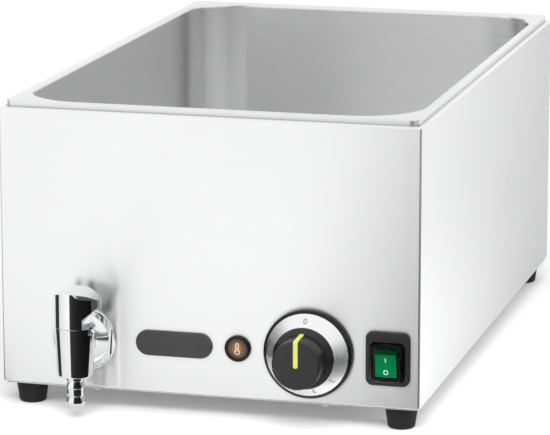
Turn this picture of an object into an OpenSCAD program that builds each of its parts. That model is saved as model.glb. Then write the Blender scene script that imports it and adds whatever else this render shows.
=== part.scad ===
// Countertop bain marie: a steel water bath in a folded casing, with a drain tap,
// a thermostat knob, a pilot lamp and a mains switch along the front panel.
// Millimetres. +Z is up, the front panel faces -Y, and the origin is on the
// counter under the middle of the whole appliance.

/* [Casing] */
// Outside width of the casing
casing_w = 340; // [332:1:380]
// Outside depth of the casing, front panel to rear panel
casing_d = 540; // [520:1:600]
// Sheet thickness of the casing, rear panel and base plate
sheet_t = 0.8; // [0.6:0.1:1.2]
// Outside radius of the sheet bends
bend_r = 2; // [1.5:0.1:3]
// Width of the folds along the bottom and rear edges
fold_w = 12; // [10:0.5:13]

/* [Tank] */
// Depth of the tank, rim to floor
tank_depth = 160; // [120:1:200]
// Height of the space under the tank for the heater and the controls
plant_h = 66.5; // [62:0.1:100]
// Sheet thickness of the tank
tank_t = 1; // [0.8:0.1:1.5]
// Radius of the tank's upright corners
tank_corner_r = 50; // [30:1:60]
// Radius between the tank's walls and its floor
tank_floor_r = 12; // [8:1:20]
// Distance of the rim's outer edge from the casing's face
rim_inset = 3.8; // [3.2:0.1:5]
// Width of the flat rim round the tank's mouth
rim_w = 7.2; // [6:0.1:12]
// Height of the rim's turned-down edge
skirt_h = 5; // [4.2:0.1:8]
// Radius of the rounded edge between the rim and the tank's walls
mouth_r = 3.4; // [2:0.1:4]
// Corner radius of the rim's outer edge
rim_corner_r = 7; // [4:0.5:12]
// Inside radius of the fold between the rim and its turned-down edge
rim_fold_r = 0.6; // [0.3:0.1:1.2]

/* [Base] */
// Height of the feet
foot_h = 18; // [12:0.5:30]
// Diameter of a foot where it meets the base plate
foot_top_d = 26.5; // [22:0.5:30]
// Diameter of a foot at the counter
foot_tip_d = 21.5; // [17:0.5:26]
// Distance of a foot's centre from the casing's faces
foot_inset = 18.5; // [17.5:0.5:30]
// Distance of the base plate's edge from the casing's faces
base_inset = 1.2; // [0.5:0.1:3]
// Corner radius of the base plate
base_corner_r = 5; // [2:0.5:12]
// Distance of the base plate's screws from the middle of the front and rear edges
base_screw_x = 93.5; // [60:0.5:120]
// Distance of the side screws from the middle of the side edges
base_screw_y = 120; // [60:1:180]
// Number of vent slots in the base plate
vent_count = 7; // [3:1:9]
// Length of a vent slot
vent_l = 60; // [30:1:80]
// Width of a vent slot
vent_w = 3.5; // [2:0.5:4]
// Distance between vent slots
vent_pitch = 12; // [8:1:14]

/* [Front panel] */
// Height of the controls' centre line above the casing's bottom fold
control_rise = 40; // [38:0.5:44]
// Distance of the mains switch from the casing's right face
switch_inset = 25.3; // [22:0.1:32]
// Distance of the thermostat dial from the switch
dial_gap = 63.2; // [58:0.1:70]
// Distance of the pilot lamp from the dial
lamp_gap = 57; // [50:0.1:62]
// Distance of the name plate from the lamp
plate_gap = 51.9; // [46:0.1:56]
// Distance of the drain tap from the name plate
tap_gap = 73.4; // [64:0.1:80]

/* [Drain tap] */
// Distance of the tap's upright axis from the panel
tap_reach = 25.5; // [25:0.1:35]
// Diameter of the tap's handle and of the body under it
tap_d = 32.5; // [30:0.1:33]
// Diameter of the body at its foot
tap_foot_d = 28; // [26:0.1:30]
// Height of the body below the inlet's centre
tap_below = 23.6; // [20:0.1:28]
// Height of the body above the inlet's centre
tap_above = 16.3; // [14:0.1:22]
// Height of the handle
handle_h = 28.7; // [25:0.1:36]
// Distance of the beak's tip from the tap's axis
beak_reach = 21.5; // [20:0.1:24]
// Radius of the handle's arched top
handle_arch_r = 37.3; // [32:0.1:60]
// Diameter of the cock plug in the body
plug_d = 18; // [16:0.1:20]
// Diameter of the water way
water_d = 9; // [7:0.5:10]
// Length of the hose nozzle below the body
nozzle_l = 24.8; // [22:0.1:30]
// Diameter of the nozzle's straight length
nozzle_d = 14.6; // [13:0.1:15.5]
// Diameter of the nozzle's two barbs
barb_d = 15.8; // [15.6:0.1:18]
// Diameter of the shank that passes through the panel
shank_d = 16.6; // [14:0.1:18]
// Diameter of the rosette against the panel
rosette_d = 51.5; // [44:0.5:60]
// Height of the rosette's dome
rosette_h = 8.5; // [7:0.1:9]

/* [Thermostat] */
// Diameter of the dial's bezel against the panel
dial_d = 70.6; // [68:0.1:76]
// Height of the dial's bezel
dial_h = 6; // [5:0.5:8]
// Diameter of the dial's coned metal scale at the bezel
scale_d = 65.8; // [60:0.1:67]
// Diameter of the scale's upper edge under the knob
scale_top_d = 46.6; // [45:0.1:47.5]
// Height of the scale's cone above the bezel
scale_rise = 10; // [7:0.1:11]
// Distance of the knob's face from the panel
knob_reach = 41; // [36:0.5:44]
// Diameter of the knob's base flange
knob_base_d = 48.8; // [48:0.1:52]
// Diameter of the knob's face
knob_face_d = 38.5; // [34:0.5:41]
// Diameter of the thermostat's shaft
shaft_d = 6; // [5:0.1:8]
// Width of the knob's pointer stripe
pointer_w = 3.6; // [3:0.1:5]

/* [Pilot lamp] */
// Diameter of the lamp's bezel
lamp_d = 21; // [20:0.5:24]
// Diameter of the lamp's lens
lens_d = 16; // [12:0.5:17]

/* [Mains switch] */
// Width of the switch's frame
frame_w = 34.6; // [32:0.1:38]
// Height of the switch's frame
frame_h = 42.8; // [40:0.1:46]
// Width of the splash boot
boot_w = 25; // [24:0.1:27]
// Height of the splash boot
boot_h = 28.6; // [28:0.1:31]
// Distance of the boot's front from the panel
boot_reach = 12.5; // [12:0.1:15]
// Distance of the boot's centre below the frame's centre
boot_drop = 2.5; // [0:0.1:4]
// Width of the rocker
rocker_w = 16.6; // [14:0.1:17]
// Height of the rocker
rocker_h = 19.1; // [17:0.1:20]
// Angle of the rocker each side of level
rocker_tilt = 12; // [8:0.5:14]

/* [Name plate] */
// Length of the bare name plate
plate_l = 62.4; // [50:0.1:66]
// Height of the bare name plate
plate_h = 20.3; // [16:0.1:24]
// Thickness of the bare name plate
plate_t = 2.2; // [1.5:0.1:4]

/* [Heater] */
// Diameter of the tubular element
element_d = 8.5; // [6:0.1:10]
// Distance of the element's outer legs from the tank's side walls
heater_inset = 54; // [45:1:65]
// Place of the legs' front ends, from the casing's middle
leg_front = -140; // [-150:1:-120]
// Place of the legs' rear ends, from the casing's middle
leg_rear = 165; // [140:1:180]

/* [Cable inlet] */
// Distance of the cable gland from the casing's right face
gland_inset = 60; // [40:1:110]
// Height of the gland's centre above the casing's bottom fold
gland_rise = 28; // [22:1:34]
// Diameter of the gland's thread
gland_d = 16; // [14:0.5:20]
// Diameter of the cord that the gland's seal takes
cord_d = 8.5; // [6:0.1:9.5]
// Distance that the gland stands out behind the rear panel
gland_reach = 19; // [16:0.5:26]

/* [Clearances] */
// Radial clearance of a turning fit
run_gap = 0.05; // [0.02:0.01:0.1]
// Gap between a fixed piece and one that moves past it
move_gap = 0.3; // [0.2:0.05:0.6]
// Radial clearance of fasteners and plugged-in pieces
fit_gap = 0.1; // [0.05:0.05:0.3]
// Gap between a fold and the piece beside it
seam_gap = 0.5; // [0.3:0.1:1]

/* [Hidden] */
$fn = 64;

// Colours
steel = [0.86, 0.87, 0.88];
tank_steel = [0.72, 0.73, 0.74];
chrome = [0.8, 0.82, 0.84];
zinc = [0.68, 0.7, 0.7];
black = [0.14, 0.14, 0.15];
dark_grey = [0.27, 0.28, 0.29];
white = [0.9, 0.89, 0.86];
brass = [0.75, 0.6, 0.3];

// Casing: the front, the sides and the middle of the appliance
tap_front = tap_reach + tap_d / 2;
front_reach = max(tap_front, knob_reach);
body_y = (front_reach - gland_reach) / 2;
front_y = body_y - casing_d / 2;
rear_y = body_y + casing_d / 2;
casing_z = foot_h + sheet_t;
casing_h = plant_h + tank_t + tank_depth - skirt_h;
lip_z = casing_z + casing_h;
control_z = casing_z + control_rise;
switch_x = casing_w / 2 - switch_inset;
dial_x = switch_x - dial_gap;
lamp_x = dial_x - lamp_gap;
plate_x = lamp_x - plate_gap;
tap_x = plate_x - tap_gap;
wrap_d = casing_d - sheet_t;
lip_w = rim_inset + rim_w - tank_t - seam_gap;
past = 1;

// Tank: its mouth, rim and floor
mouth_w = casing_w - 2 * (rim_inset + rim_w);
mouth_d = casing_d - 2 * (rim_inset + rim_w);
rim_z = lip_z + skirt_h;
floor_z = rim_z - tank_depth;
under_z = floor_z - tank_t;

// Screws and nuts
small_d = 3.8;
small_head_d = 7;
small_head_h = 2.2;
m5_d = 5;
m5_nut_af = 8;
m5_nut_h = 4;
foot_head_d = 9;
foot_head_h = 3.2;
foot_recess = 9;
thread_past = 2;
screw_in = 6;
rear_screw_rows = 3;

// Drain tap
tap_y = front_y - tap_reach;
tap_r = tap_d / 2;
tap_foot_z = control_z - tap_below;
tap_split_z = control_z + tap_above;
tap_top_z = tap_split_z + handle_h;
spigot_l = 6;
plug_foot_z = tap_foot_z + spigot_l;
stem_d = 12;
stem_up = 14;
inlet_d = 20;
spigot_d = 12;
notch_x = 10;
notch_h = 7.6;
shank_in = 22;
locknut_af = 24;
locknut_h = 5;
pin_r = 1.5;
pin_h = 3;
pin_at = (plug_d / 2 + tap_r) / 2;
turn_angle = 90;
ear_at = -25;
ear_w = 3;
ear_in = 2;
ear_out = 4.2;
ear_up = 1.8;
ear_tip = 2.6;
ear_down = 6;
beak_sin = 0.6;
beak_cos = 0.8;
beak_tip_r = (tap_r - beak_sin * beak_reach) / (1 - beak_sin);
beak_slope = 40;
arch_x = 0.3;
seal_d = 2;
low_seal = 3;
high_seal = 4;
neck_l = 3.5;
neck_groove = 1;
barb_l = 4;
barb_land = 1;
barb_back = 0.5;
nozzle_tip = 3.2;
nozzle_end_d = 12;
rosette_lip = 2.4;
rosette_wall = 1.5;
rosette_step = 1;
rosette_neck = 2;

// Drain elbow below the tank's floor
drain_back = 62;
drain_y = front_y + drain_back;
drain_bend_r = 14;
coupling_l = 16;
coupling_af = 22;
drain_collar_t = 2;
drain_collar_w = 6;
drain_bore = water_d + 3;

// Thermostat, from the panel's front face outwards
bush_d = 9.5;
scale_t = 0.8;
scale_wall = 1.2;
dial_wall = 2;
dial_seat_t = 1.6;
dial_land = 0.6;
dial_bevel = 1.8;
dial_bore = bush_d + 4;
knob_z0 = dial_h + scale_rise + seam_gap;
knob_wall = 2.6;
flange_t = 1.6;
flange_rise = 2.4;
knob_taper = 0.9;
knob_neck_z = knob_z0 + flange_t + flange_rise;
knob_rib_t = 1.6;
knob_rib_rise = 2;
hub_r = shaft_d / 2 + 2.5;
knob_cover = 8;
shaft_out = knob_reach - knob_cover;
flat_l = 14;
pointer_deep = 1;
pointer_proud = 0.3;
thermostat_w = 27;
thermostat_h = 36;
thermostat_l = 26;
thermostat_r = 4;
bracket_t = 1.5;
bracket_w = 46;
bracket_h = 14;
thermostat_screw_x = 18;
m4_d = 4;
bush_out = 2;
shaft_in = 18;

// Sensor bulb under the tank and its capillary
bulb_d = 6;
bulb_l = 92;
clip_w = 14;
clip_tab = 8;
bulb_front = 15;
bulb_y = body_y - bulb_front;
capillary_d = 2;
capillary_bend_r = 6;
capillary_back = 80;
capillary_y = front_y + capillary_back;

// Mains switch
frame_t = 3.2;
frame_corner_r = 5.5;
frame_edge_r = 1.2;
boot_wall = 0.9;
boot_ledges = 2;
boot_ledge_w = 0.8;
boot_ledge_h = 2.6;
boot_ledge_z = 4.6;
boot_flare = boot_ledges * boot_ledge_w;
boot_corner_r = 3.5;
boot_edge_r = 2;
pivot_z = 2.5;
pivot_d = 3;
pivot_l = 1.2;
rocker_back = 5.5;
rocker_dish = 1;
rocker_heel_w = 2;
rocker_heel_h = 3;
rocker_face_z = boot_reach - boot_wall - 2 * move_gap - rocker_h / 2 * sin(rocker_tilt);
rocker_room = max(rocker_back, rocker_face_z - pivot_z) * sin(rocker_tilt) + move_gap;
cheek_t = 2.2;
cheek_h = 10;
cheek_z = 5;
switch_flange_t = 1.2;
rocker_pit = 3;
switch_body_w = rocker_w + 2 * (move_gap + cheek_t);
switch_body_h = rocker_h + 2 * (rocker_room + cheek_t);
switch_deep = 27;
switch_z = control_z - boot_drop;

// Pilot lamp
barrel_d = lens_d + 2.4;
barrel_l = 22;
lens_deep = 8;
lamp_proud = 3;
lamp_nut_h = 4;
lamp_nut_w = 3;
lens_crown = 1;

// Heater
leg_count = 4;
leg_pitch = (mouth_w - 2 * heater_inset) / (leg_count - 1);
element_z = under_z - element_d / 2;
terminal_bend_r = 12;
terminal_l = 8;
pin_d = 4;
pin_l = 8;
clamp_w = 18;
clamp_t = 3;
clamp_end = 20;
clamp_l = leg_pitch * (leg_count - 1) + 2 * clamp_end;
clamp_front = 95;
clamp_rear = 120;
clamp_front_y = body_y - clamp_front;
clamp_rear_y = body_y + clamp_rear;
clamp_r = 3;
stud_x = leg_pitch;

// Cable gland
gland_x = casing_w / 2 - gland_inset;
gland_af = 22;
gland_hex_h = 5;
gland_nut_h = 4;
gland_wall = 1.5;
gland_cap_t = 4;
gland_cap_hex_h = 5;
cap_round = 4;
cord_room = 1;
gland_tail = sheet_t + gland_nut_h + thread_past;
gland_mouth = gland_reach - gland_cap_t;

// Electrical pieces on the base plate
cutout_x = 10;
cutout_back = 88;
cutout_y = front_y + cutout_back;
cutout_w = 24;
cutout_h = 26;
cutout_neck_d = 10;
cutout_neck_l = 7;
cutout_nut_h = 3;
cutout_nut_w = 2;
cutout_r = 3;
block_gap = 50;
block_x = gland_x - block_gap;
block_inset = 70;
block_y = rear_y - block_inset;
block_l = 42;
block_w = 22;
block_h = 20;
block_r = 2;
block_screw_x = 14;
block_screw_in = 7;
block_pit_d = 5;
block_way_d = 4;
block_way_up = 3;
earth_inset = 45;
earth_x = casing_w / 2 - earth_inset;
earth_back = 120;
earth_y = rear_y - earth_back;
earth_l = 22;

foot_x = casing_w / 2 - foot_inset;
foot_y = casing_d / 2 - foot_inset;

// Flat outline of a rounded rectangle
module round_rect(w, d, r) {
    square([w - 2 * r, d], center = true);
    square([w, d - 2 * r], center = true);
    for (x = [-1, 1], y = [-1, 1])
        translate([x * (w / 2 - r), y * (d / 2 - r)]) circle(r);
}

// Quarter of a disc, rounding the lower right of a profile
module quarter_disc(r) {
    intersection() {
        circle(r);
        translate([0, -r]) square(r);
    }
}

// Upright section of a drawn form, with its lower corners rounded
module drawn_section(w, h, r) {
    translate([-w / 2, r]) square([w, h - r]);
    translate([-w / 2 + r, 0]) square([w - 2 * r, r]);
    for (s = [0, 1]) mirror([s, 0]) translate([w / 2 - r, r]) quarter_disc(r);
}

// Box with rounded upright corners and a rounded lower edge, standing on z = 0
module drawn_form(w, d, h, corner_r, edge_r) {
    rotate([90, 0, 0]) translate([0, 0, -d / 2 + corner_r])
        linear_extrude(d - 2 * corner_r) drawn_section(w, h, edge_r);
    rotate([90, 0, 90]) translate([0, 0, -w / 2 + corner_r])
        linear_extrude(w - 2 * corner_r) drawn_section(d, h, edge_r);
    for (x = [0, 1], y = [0, 1])
        mirror([x, 0]) mirror([0, y]) translate([w / 2 - corner_r, d / 2 - corner_r])
            rotate_extrude(angle = 90) {
                translate([0, edge_r]) square([corner_r, h - edge_r]);
                if (corner_r > edge_r) square([corner_r - edge_r, edge_r]);
                translate([corner_r - edge_r, edge_r]) quarter_disc(edge_r);
            }
}

// Frame on the front panel: x right, y up, z out towards the user
module at_panel(x, z = control_z) {
    translate([x, front_y, z]) rotate([90, 0, 0]) children();
}

// Frame on the rear panel: z out of the back
module at_rear(x, z) {
    translate([x, rear_y, z]) rotate([-90, 0, 0]) children();
}

module at_feet() {
    for (x = [-1, 1], y = [-1, 1]) translate([x * foot_x, body_y + y * foot_y]) children();
}

module at_base_screws() {
    for (x = [-1, 1], y = [-1, 1]) {
        translate([x * base_screw_x, body_y + y * (casing_d / 2 - fold_w / 2)]) children();
        translate([x * (casing_w / 2 - fold_w / 2), body_y + y * base_screw_y]) children();
    }
}

module at_rear_screws() {
    for (x = [-1, 1], i = [0 : rear_screw_rows - 1])
        at_rear(x * (casing_w / 2 - fold_w / 2), casing_z + casing_h * (i + 0.5) / rear_screw_rows)
            children();
}

module hex_prism(af, h) {
    cylinder(d = af / cos(30), h = h, $fn = 6);
}

module hex_nut(af, h, bore) {
    difference() {
        hex_prism(af, h);
        translate([0, 0, -past]) cylinder(d = bore, h = h + 2 * past);
    }
}

// Pan-head screw: head below z = 0, shank upwards
module pan_screw(d, l, head_d, head_h) {
    cylinder(d = d, h = l);
    translate([0, 0, -head_h]) rotate_extrude() {
        translate([0, head_h / 2]) square([head_d / 2, head_h / 2]);
        square([head_d / 2 - head_h / 2, head_h]);
        translate([head_d / 2 - head_h / 2, head_h / 2]) quarter_disc(head_h / 2);
    }
}

// Casing: one sheet wrapped round the front and sides

module casing_form(inset) {
    half = casing_h / 2 - inset;
    translate([0, body_y - sheet_t / 2, casing_z + casing_h / 2])
        for (s = [0, 1]) mirror([0, 0, s]) translate([0, 0, -half])
            drawn_form(casing_w - 2 * inset, wrap_d - 2 * inset, half, bend_r - inset, bend_r - inset);
}

module panel_holes() {
    deep = sheet_t + 2 * past;
    at_panel(tap_x) translate([0, 0, -deep + past]) cylinder(d = shank_d + 2 * fit_gap, h = deep);
    at_panel(lamp_x) translate([0, 0, -deep + past]) cylinder(d = barrel_d + 2 * fit_gap, h = deep);
    at_panel(dial_x) translate([0, 0, -deep + past]) {
        cylinder(d = bush_d + 2 * fit_gap, h = deep);
        for (x = [-1, 1]) translate([x * thermostat_screw_x, 0]) cylinder(d = m4_d + 2 * fit_gap, h = deep);
    }
    at_panel(switch_x, switch_z) translate([0, 0, -deep + past])
        linear_extrude(deep)
            square([switch_body_w + 2 * fit_gap, switch_body_h + 2 * fit_gap], center = true);
}

module casing() color(steel) difference() {
    casing_form(0);
    casing_form(sheet_t);
    // mouth between the top folds, open to the rear
    translate([-casing_w / 2 + lip_w, front_y + lip_w, lip_z - casing_h / 2])
        cube([casing_w - 2 * lip_w, casing_d, casing_h]);
    // opening between the bottom and rear folds
    translate([-casing_w / 2 + fold_w, front_y + fold_w, casing_z - past])
        cube([casing_w - 2 * fold_w, casing_d, casing_h + past]);
    panel_holes();
    at_rear_screws() translate([0, 0, -4 * sheet_t]) cylinder(d = small_d + 2 * fit_gap, h = 4 * sheet_t);
    translate([0, 0, casing_z - past]) at_base_screws()
        cylinder(d = small_d + 2 * fit_gap, h = sheet_t + 2 * past);
}

module rear_panel() color(steel) difference() {
    union() {
        // channel with its folds between the casing's side folds
        translate([-casing_w / 2 + fold_w + seam_gap, 0, 0]) rotate([90, 0, 90])
            linear_extrude(casing_w - 2 * fold_w - 2 * seam_gap) rear_section();
        translate([-casing_w / 2 + bend_r, rear_y - sheet_t, casing_z + bend_r])
            cube([casing_w - 2 * bend_r, sheet_t, casing_h - 2 * bend_r]);
    }
    at_rear_screws() translate([0, 0, -2 * sheet_t]) cylinder(d = small_d + 2 * fit_gap, h = 3 * sheet_t);
    at_rear(gland_x, casing_z + gland_rise) translate([0, 0, -2 * sheet_t])
        cylinder(d = gland_d + 2 * fit_gap, h = 3 * sheet_t);
    translate([0, 0, casing_z - past]) at_base_screws()
        cylinder(d = small_d + 2 * fit_gap, h = sheet_t + 2 * past);
}

module rear_section() {
    difference() {
        translate([rear_y - fold_w, casing_z]) square([fold_w - bend_r, casing_h]);
        translate([rear_y - fold_w - past, casing_z + sheet_t])
            square([fold_w + past, casing_h - 2 * sheet_t]);
        translate([rear_y - fold_w - past, lip_z - 2 * sheet_t])
            square([fold_w - lip_w + past, 2 * sheet_t + past]);
    }
    for (s = [0, 1]) translate([rear_y - bend_r, casing_z + casing_h / 2]) mirror([0, s])
        translate([0, -casing_h / 2 + bend_r]) difference() {
            quarter_disc(bend_r);
            circle(bend_r - sheet_t);
        }
    translate([rear_y - sheet_t, casing_z + bend_r]) square([sheet_t, casing_h - 2 * bend_r]);
}

// Base plate with its vents, and the feet under it

module base_plate() color(steel) translate([0, 0, foot_h]) difference() {
    translate([0, body_y]) linear_extrude(sheet_t)
        round_rect(casing_w - 2 * base_inset, casing_d - 2 * base_inset, base_corner_r);
    translate([0, 0, -past]) {
        at_feet() cylinder(d = m5_d + 2 * fit_gap, h = sheet_t + 2 * past);
        at_base_screws() cylinder(d = small_d + 2 * fit_gap, h = sheet_t + 2 * past);
        translate([cutout_x, cutout_y]) cylinder(d = cutout_neck_d + 2 * fit_gap, h = sheet_t + 2 * past);
        translate([earth_x, earth_y]) cylinder(d = m5_d + 2 * fit_gap, h = sheet_t + 2 * past);
        for (x = [-1, 1]) translate([block_x + x * block_screw_x, block_y])
            cylinder(d = small_d + 2 * fit_gap, h = sheet_t + 2 * past);
        for (i = [0 : vent_count - 1], y = [-1, 1])
            translate([0, body_y + y * vent_pitch * (vent_count / 2 + 1)])
                translate([0, (i - (vent_count - 1) / 2) * vent_pitch]) vent_slot();
    }
}

module vent_slot() {
    linear_extrude(sheet_t + 2 * past) {
        square([vent_l - vent_w, vent_w], center = true);
        for (x = [-1, 1]) translate([x * (vent_l - vent_w) / 2, 0]) circle(d = vent_w);
    }
}

module foot() {
    edge = 1.2;
    color(black) rotate_extrude() difference() {
        polygon([[0, 0], [foot_tip_d / 2 - edge, 0], [foot_tip_d / 2, edge],
                 [foot_top_d / 2, foot_h], [0, foot_h]]);
        square([foot_head_d / 2 + 2 * fit_gap, foot_recess]);
        square([m5_d / 2 + fit_gap, foot_h]);
    }
}

module foot_at(x, y) {
    translate([x * foot_x, body_y + y * foot_y]) foot();
}

module foot_front_left() foot_at(-1, -1);
module foot_front_right() foot_at(1, -1);
module foot_rear_left() foot_at(-1, 1);
module foot_rear_right() foot_at(1, 1);

module foot_screws() color(zinc) at_feet() translate([0, 0, foot_recess])
    pan_screw(m5_d, foot_h - foot_recess + sheet_t + m5_nut_h + thread_past, foot_head_d, foot_head_h);

module foot_nuts() color(zinc) at_feet() translate([0, 0, casing_z])
    hex_nut(m5_nut_af, m5_nut_h, m5_d + 2 * fit_gap);

module base_screws() color(zinc) translate([0, 0, foot_h]) at_base_screws()
    pan_screw(small_d, 2 * sheet_t + screw_in, small_head_d, small_head_h);

module rear_screws() color(zinc) at_rear_screws() mirror([0, 0, 1])
    pan_screw(small_d, 2 * sheet_t + screw_in, small_head_d, small_head_h);

// Tank: a drawn well hanging in the casing by its rim

module tank() color(tank_steel) {
    difference() {
        union() {
            translate([0, body_y, under_z])
                drawn_form(mouth_w + 2 * tank_t, mouth_d + 2 * tank_t, tank_depth,
                           tank_corner_r + tank_t, tank_floor_r + tank_t);
            translate([0, body_y, rim_z]) mirror([0, 0, 1]) rim_cap();
        }
        translate([0, body_y, floor_z])
            drawn_form(mouth_w, mouth_d, tank_depth + past, tank_corner_r, tank_floor_r);
        translate([0, body_y, rim_z - mouth_r]) linear_extrude(mouth_r + past)
            round_rect(mouth_w + 2 * mouth_r, mouth_d + 2 * mouth_r, tank_corner_r + mouth_r);
        translate([tap_x, drain_y, under_z - past]) cylinder(d = drain_bore, h = tank_t + 2 * past);
    }
    translate([0, body_y, rim_z - mouth_r]) round_mouth() rotate(180) difference() {
        quarter_disc(mouth_r);
        circle(mouth_r - tank_t);
    }
}

// Carries a section round the tank's mouth; the section's origin runs mouth_r outside the mouth
module round_mouth() {
    path_w = mouth_w / 2 - tank_corner_r;
    path_d = mouth_d / 2 - tank_corner_r;
    path_r = tank_corner_r + mouth_r;
    for (x = [0, 1]) mirror([x, 0]) {
        translate([path_w + path_r, path_d, 0]) rotate([90, 0, 0]) linear_extrude(2 * path_d) children();
        for (y = [0, 1]) mirror([0, y]) translate([path_w, path_d])
            rotate_extrude(angle = 90) translate([path_r, 0]) children();
    }
    for (y = [0, 1]) mirror([0, y]) translate([-path_w, path_d + path_r, 0]) rotate([90, 0, 90])
        linear_extrude(2 * path_w) children();
}

// Rim upside down: a flat frame with its outer edge turned down over the casing's folds
module rim_cap() {
    rim_l = casing_d - 2 * rim_inset;
    rim_b = casing_w - 2 * rim_inset;
    difference() {
        drawn_form(rim_b, rim_l, skirt_h, rim_corner_r, rim_fold_r + tank_t);
        translate([0, 0, tank_t])
            drawn_form(rim_b - 2 * tank_t, rim_l - 2 * tank_t, skirt_h, rim_corner_r - tank_t, rim_fold_r);
    }
}

// Drain tap: a plug cock on the front panel, turned by its beaked handle

module at_tap(z) {
    translate([tap_x, tap_y, z]) children();
}

module tap_body() color(chrome) difference() {
    union() {
        at_tap(tap_foot_z) rotate_extrude() tap_barrel_section();
        at_panel(tap_x) cylinder(d = inlet_d, h = tap_reach);
        at_panel(tap_x) translate([0, 0, -shank_in]) cylinder(d = shank_d, h = shank_in + past);
        tap_stop();
        tap_ear();
    }
    at_tap(plug_foot_z) cylinder(d = plug_d + 2 * run_gap, h = tap_above + tap_below);
    at_tap(tap_foot_z - past) cylinder(d = spigot_d + 2 * fit_gap, h = tap_below);
    at_panel(tap_x) translate([0, 0, -shank_in - past])
        cylinder(d = water_d, h = shank_in + tap_reach + past);
}

module tap_barrel_section() {
    edge = 1.4;
    foot_r = tap_foot_d / 2;
    top = tap_below + tap_above - move_gap / 2;
    polygon([[0, 0], [foot_r - edge, 0], [foot_r, edge], [tap_r, top], [0, top]]);
    translate([foot_r - edge, edge]) quarter_disc(edge);
}

// Pin on the body that ends the quarter turn, standing in the groove under the handle
module tap_stop() {
    at_tap(tap_split_z - past) translate([-pin_at, 0]) cylinder(r = pin_r, h = pin_h + past);
}

// Groove under the handle, from the pin's place in the closed tap round to its place in the open tap
module stop_groove() {
    half = pin_r + move_gap;
    spare = asin(half / pin_at);
    rotate(180 - spare) rotate_extrude(angle = turn_angle + 2 * spare)
        translate([pin_at - half, -past]) square([2 * half, pin_h + past + move_gap]);
}

// Peaked ear beside the split, which marks the closed tap and clears the turning handle
module tap_ear() {
    clear = tap_r + move_gap;
    at_tap(tap_split_z) rotate(ear_at) rotate([90, 0, 0]) linear_extrude(ear_w, center = true) polygon([
        [tap_r - ear_in, -ear_down], [clear + ear_out, -ear_tip], [clear, ear_up],
        [clear, -move_gap], [tap_r - ear_in, -move_gap]
    ]);
}

// Hose nozzle: a short neck, two barbs and a tapered tip, with the water way through it
module tap_nozzle() color(chrome) at_tap(tap_foot_z) difference() {
    r = nozzle_d / 2;
    top = -neck_l - neck_groove - barb_l;
    low = -nozzle_l + nozzle_tip + barb_land;
    union() {
        rotate_extrude() polygon([
            [0, 0], [r, 0], [r, -neck_l], [r - neck_groove, top + barb_l],
            [barb_d / 2, top], [barb_d / 2, top - barb_land], [r, top - barb_land - barb_back],
            [r, low + barb_l + neck_groove], [r - neck_groove, low + barb_l],
            [barb_d / 2, low], [barb_d / 2, low - barb_land], [nozzle_end_d / 2, -nozzle_l], [0, -nozzle_l]
        ]);
        cylinder(d = spigot_d, h = spigot_l);
    }
    translate([0, 0, -nozzle_l - past]) cylinder(d = water_d, h = nozzle_l + tap_below);
}

module tap_rosette() color(chrome) at_panel(tap_x) rotate_extrude() difference() {
    union() {
        square([rosette_d / 2 - rosette_lip / 2, rosette_lip]);
        translate([rosette_d / 2 - rosette_lip / 2, rosette_lip / 2]) circle(d = rosette_lip);
        rosette_dome(0);
    }
    translate([0, -past]) rosette_dome(rosette_wall);
    translate([0, -past]) square([inlet_d / 2 + fit_gap, rosette_h + 2 * past]);
}

// Half section of the rosette's dome, a cap of a sphere centred on the tap's inlet
module rosette_dome(wall) {
    foot_r = rosette_d / 2 - rosette_lip - rosette_step;
    neck_r = inlet_d / 2 + rosette_neck;
    centre = (foot_r * foot_r - neck_r * neck_r - rosette_h * rosette_h) / (-2 * rosette_h);
    intersection() {
        translate([0, centre]) circle(norm([foot_r, centre]) - wall, $fn = 180);
        square([foot_r - wall, rosette_h]);
    }
}

module tap_locknut() color(zinc) at_panel(tap_x) translate([0, 0, -sheet_t - locknut_h])
    hex_nut(locknut_af, locknut_h, shank_d + 2 * fit_gap);

// Cock plug: its side port faces away from the inlet until the handle is turned
module tap_plug() color(brass) difference() {
    union() {
        at_tap(plug_foot_z + move_gap)
            cylinder(d = plug_d, h = tap_split_z - move_gap / 2 - plug_foot_z - move_gap);
        at_tap(control_z) cylinder(d = stem_d, h = tap_above + stem_up);
    }
    at_tap(plug_foot_z) cylinder(d = water_d, h = control_z - plug_foot_z);
    at_tap(control_z) sphere(d = water_d);
    at_tap(control_z) rotate([0, -90, 0]) cylinder(d = water_d, h = plug_d);
    at_seals() rotate_extrude() translate([plug_d / 2 - seal_d, -seal_d / 2]) square([2 * seal_d, seal_d]);
}

module at_seals() {
    at_tap(plug_foot_z + low_seal) children();
    at_tap(tap_split_z - high_seal) children();
}

module tap_seals() color(black) at_seals()
    rotate_extrude() translate([plug_d / 2 - seal_d / 2, 0]) circle(d = seal_d);

// Upright block of the handle: the round cap running out to the rounded beak, its sides sloped 3 : 4 : 5
module handle_block() {
    tip_x = beak_reach - beak_tip_r;
    cylinder(r = tap_r, h = handle_h);
    translate([tip_x, 0]) cylinder(r = beak_tip_r, h = handle_h);
    linear_extrude(handle_h) for (s = [0, 1]) mirror([0, s]) polygon([
        [0, 0], [tip_x, 0],
        [tip_x + beak_tip_r * beak_sin, beak_tip_r * beak_cos], [tap_r * beak_sin, tap_r * beak_cos]
    ]);
}

module tap_handle() color(chrome) difference() {
    intersection() {
        at_tap(tap_split_z + move_gap / 2) handle_block();
        at_tap(tap_top_z - handle_arch_r) translate([arch_x, 0]) rotate([90, 0, 0])
            cylinder(r = handle_arch_r, h = 4 * tap_r, center = true, $fn = 180);
    }
    at_tap(tap_split_z) handle_notch();
    at_tap(tap_split_z) stop_groove();
    at_tap(tap_split_z - past) cylinder(d = stem_d + 2 * fit_gap, h = stem_up + past);
}

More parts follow.
